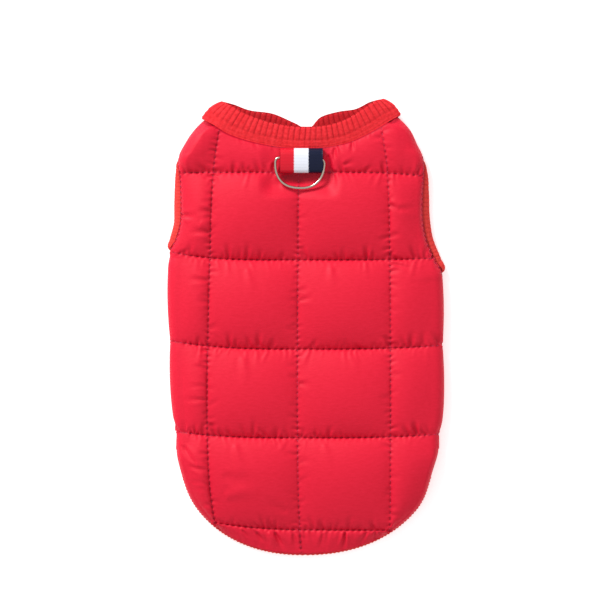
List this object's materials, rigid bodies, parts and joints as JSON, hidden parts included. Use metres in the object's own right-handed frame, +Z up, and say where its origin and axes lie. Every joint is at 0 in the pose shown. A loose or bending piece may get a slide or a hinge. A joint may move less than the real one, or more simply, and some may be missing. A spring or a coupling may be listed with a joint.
{
  "type": "dog winter coat",
  "caption": "Quilted padded sleeveless coat for a small dog, with rib-knit neck and leg bands, a rounded tail end and a ribbon tab holding a D-ring; laid flat on its belly side.",
  "frame": {"origin": "middle of the coat's outline, on the surface that it lies on", "axes": "+Y towards the neck, -Y towards the tail, +Z up from the surface, out of the back panel"},
  "size_m": [0.1566, 0.2596, 0.0162],
  "materials": {
    "quilted_cloth": "satin",
    "rib_knit": "matte",
    "ribbon": "satin",
    "ring_steel": "polished"
  },
  "bodies": {
    "coat": {"back_panel": "quilted_cloth", "belly_panel": "quilted_cloth", "neck_band": "rib_knit", "leg_band_left": "rib_knit", "leg_band_right": "rib_knit", "hem_binding": "rib_knit", "leash_tab": "ribbon"},
    "d_ring": {"d_ring": "ring_steel"}
  },
  "joints": [
    {"name": "ring_swing", "type": "hinge", "parent": "coat", "child": "d_ring", "pos_m": [-0.0028, 0.0945, 0.01385], "axis": [-0.999, 0.045, 0], "range_deg": [0, 150]}
  ]
}
